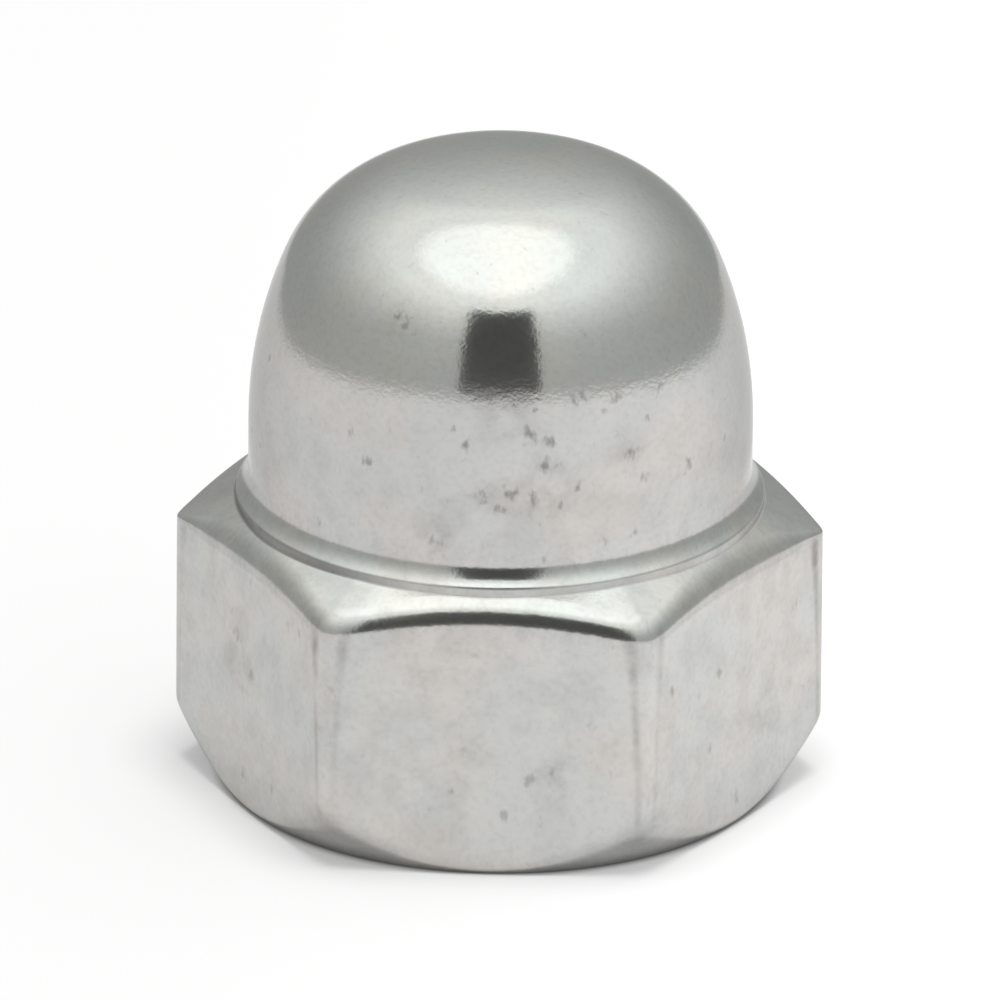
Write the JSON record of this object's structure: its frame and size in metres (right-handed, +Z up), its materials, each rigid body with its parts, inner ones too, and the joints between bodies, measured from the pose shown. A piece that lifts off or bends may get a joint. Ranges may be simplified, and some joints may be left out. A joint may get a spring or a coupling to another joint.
{
  "type": "cap nut",
  "caption": "Domed hexagon cap nut in bright plated steel, with a blind tapped hole that covers and guards the end of a bolt or stud.",
  "frame": {"origin": "centre of the round bearing face under the hexagon, where the nut meets what it is tightened on", "axes": "+Z up the nut's axis to the crown of the dome; one flat of the hexagon faces -Y and two corners lie on X"},
  "size_m": [0.015, 0.013, 0.015],
  "materials": {
    "plated_steel": "bright plating with fine pits and faint stains"
  },
  "bodies": {
    "root": {"cap_nut": "plated_steel"}
  },
  "joints": []
}
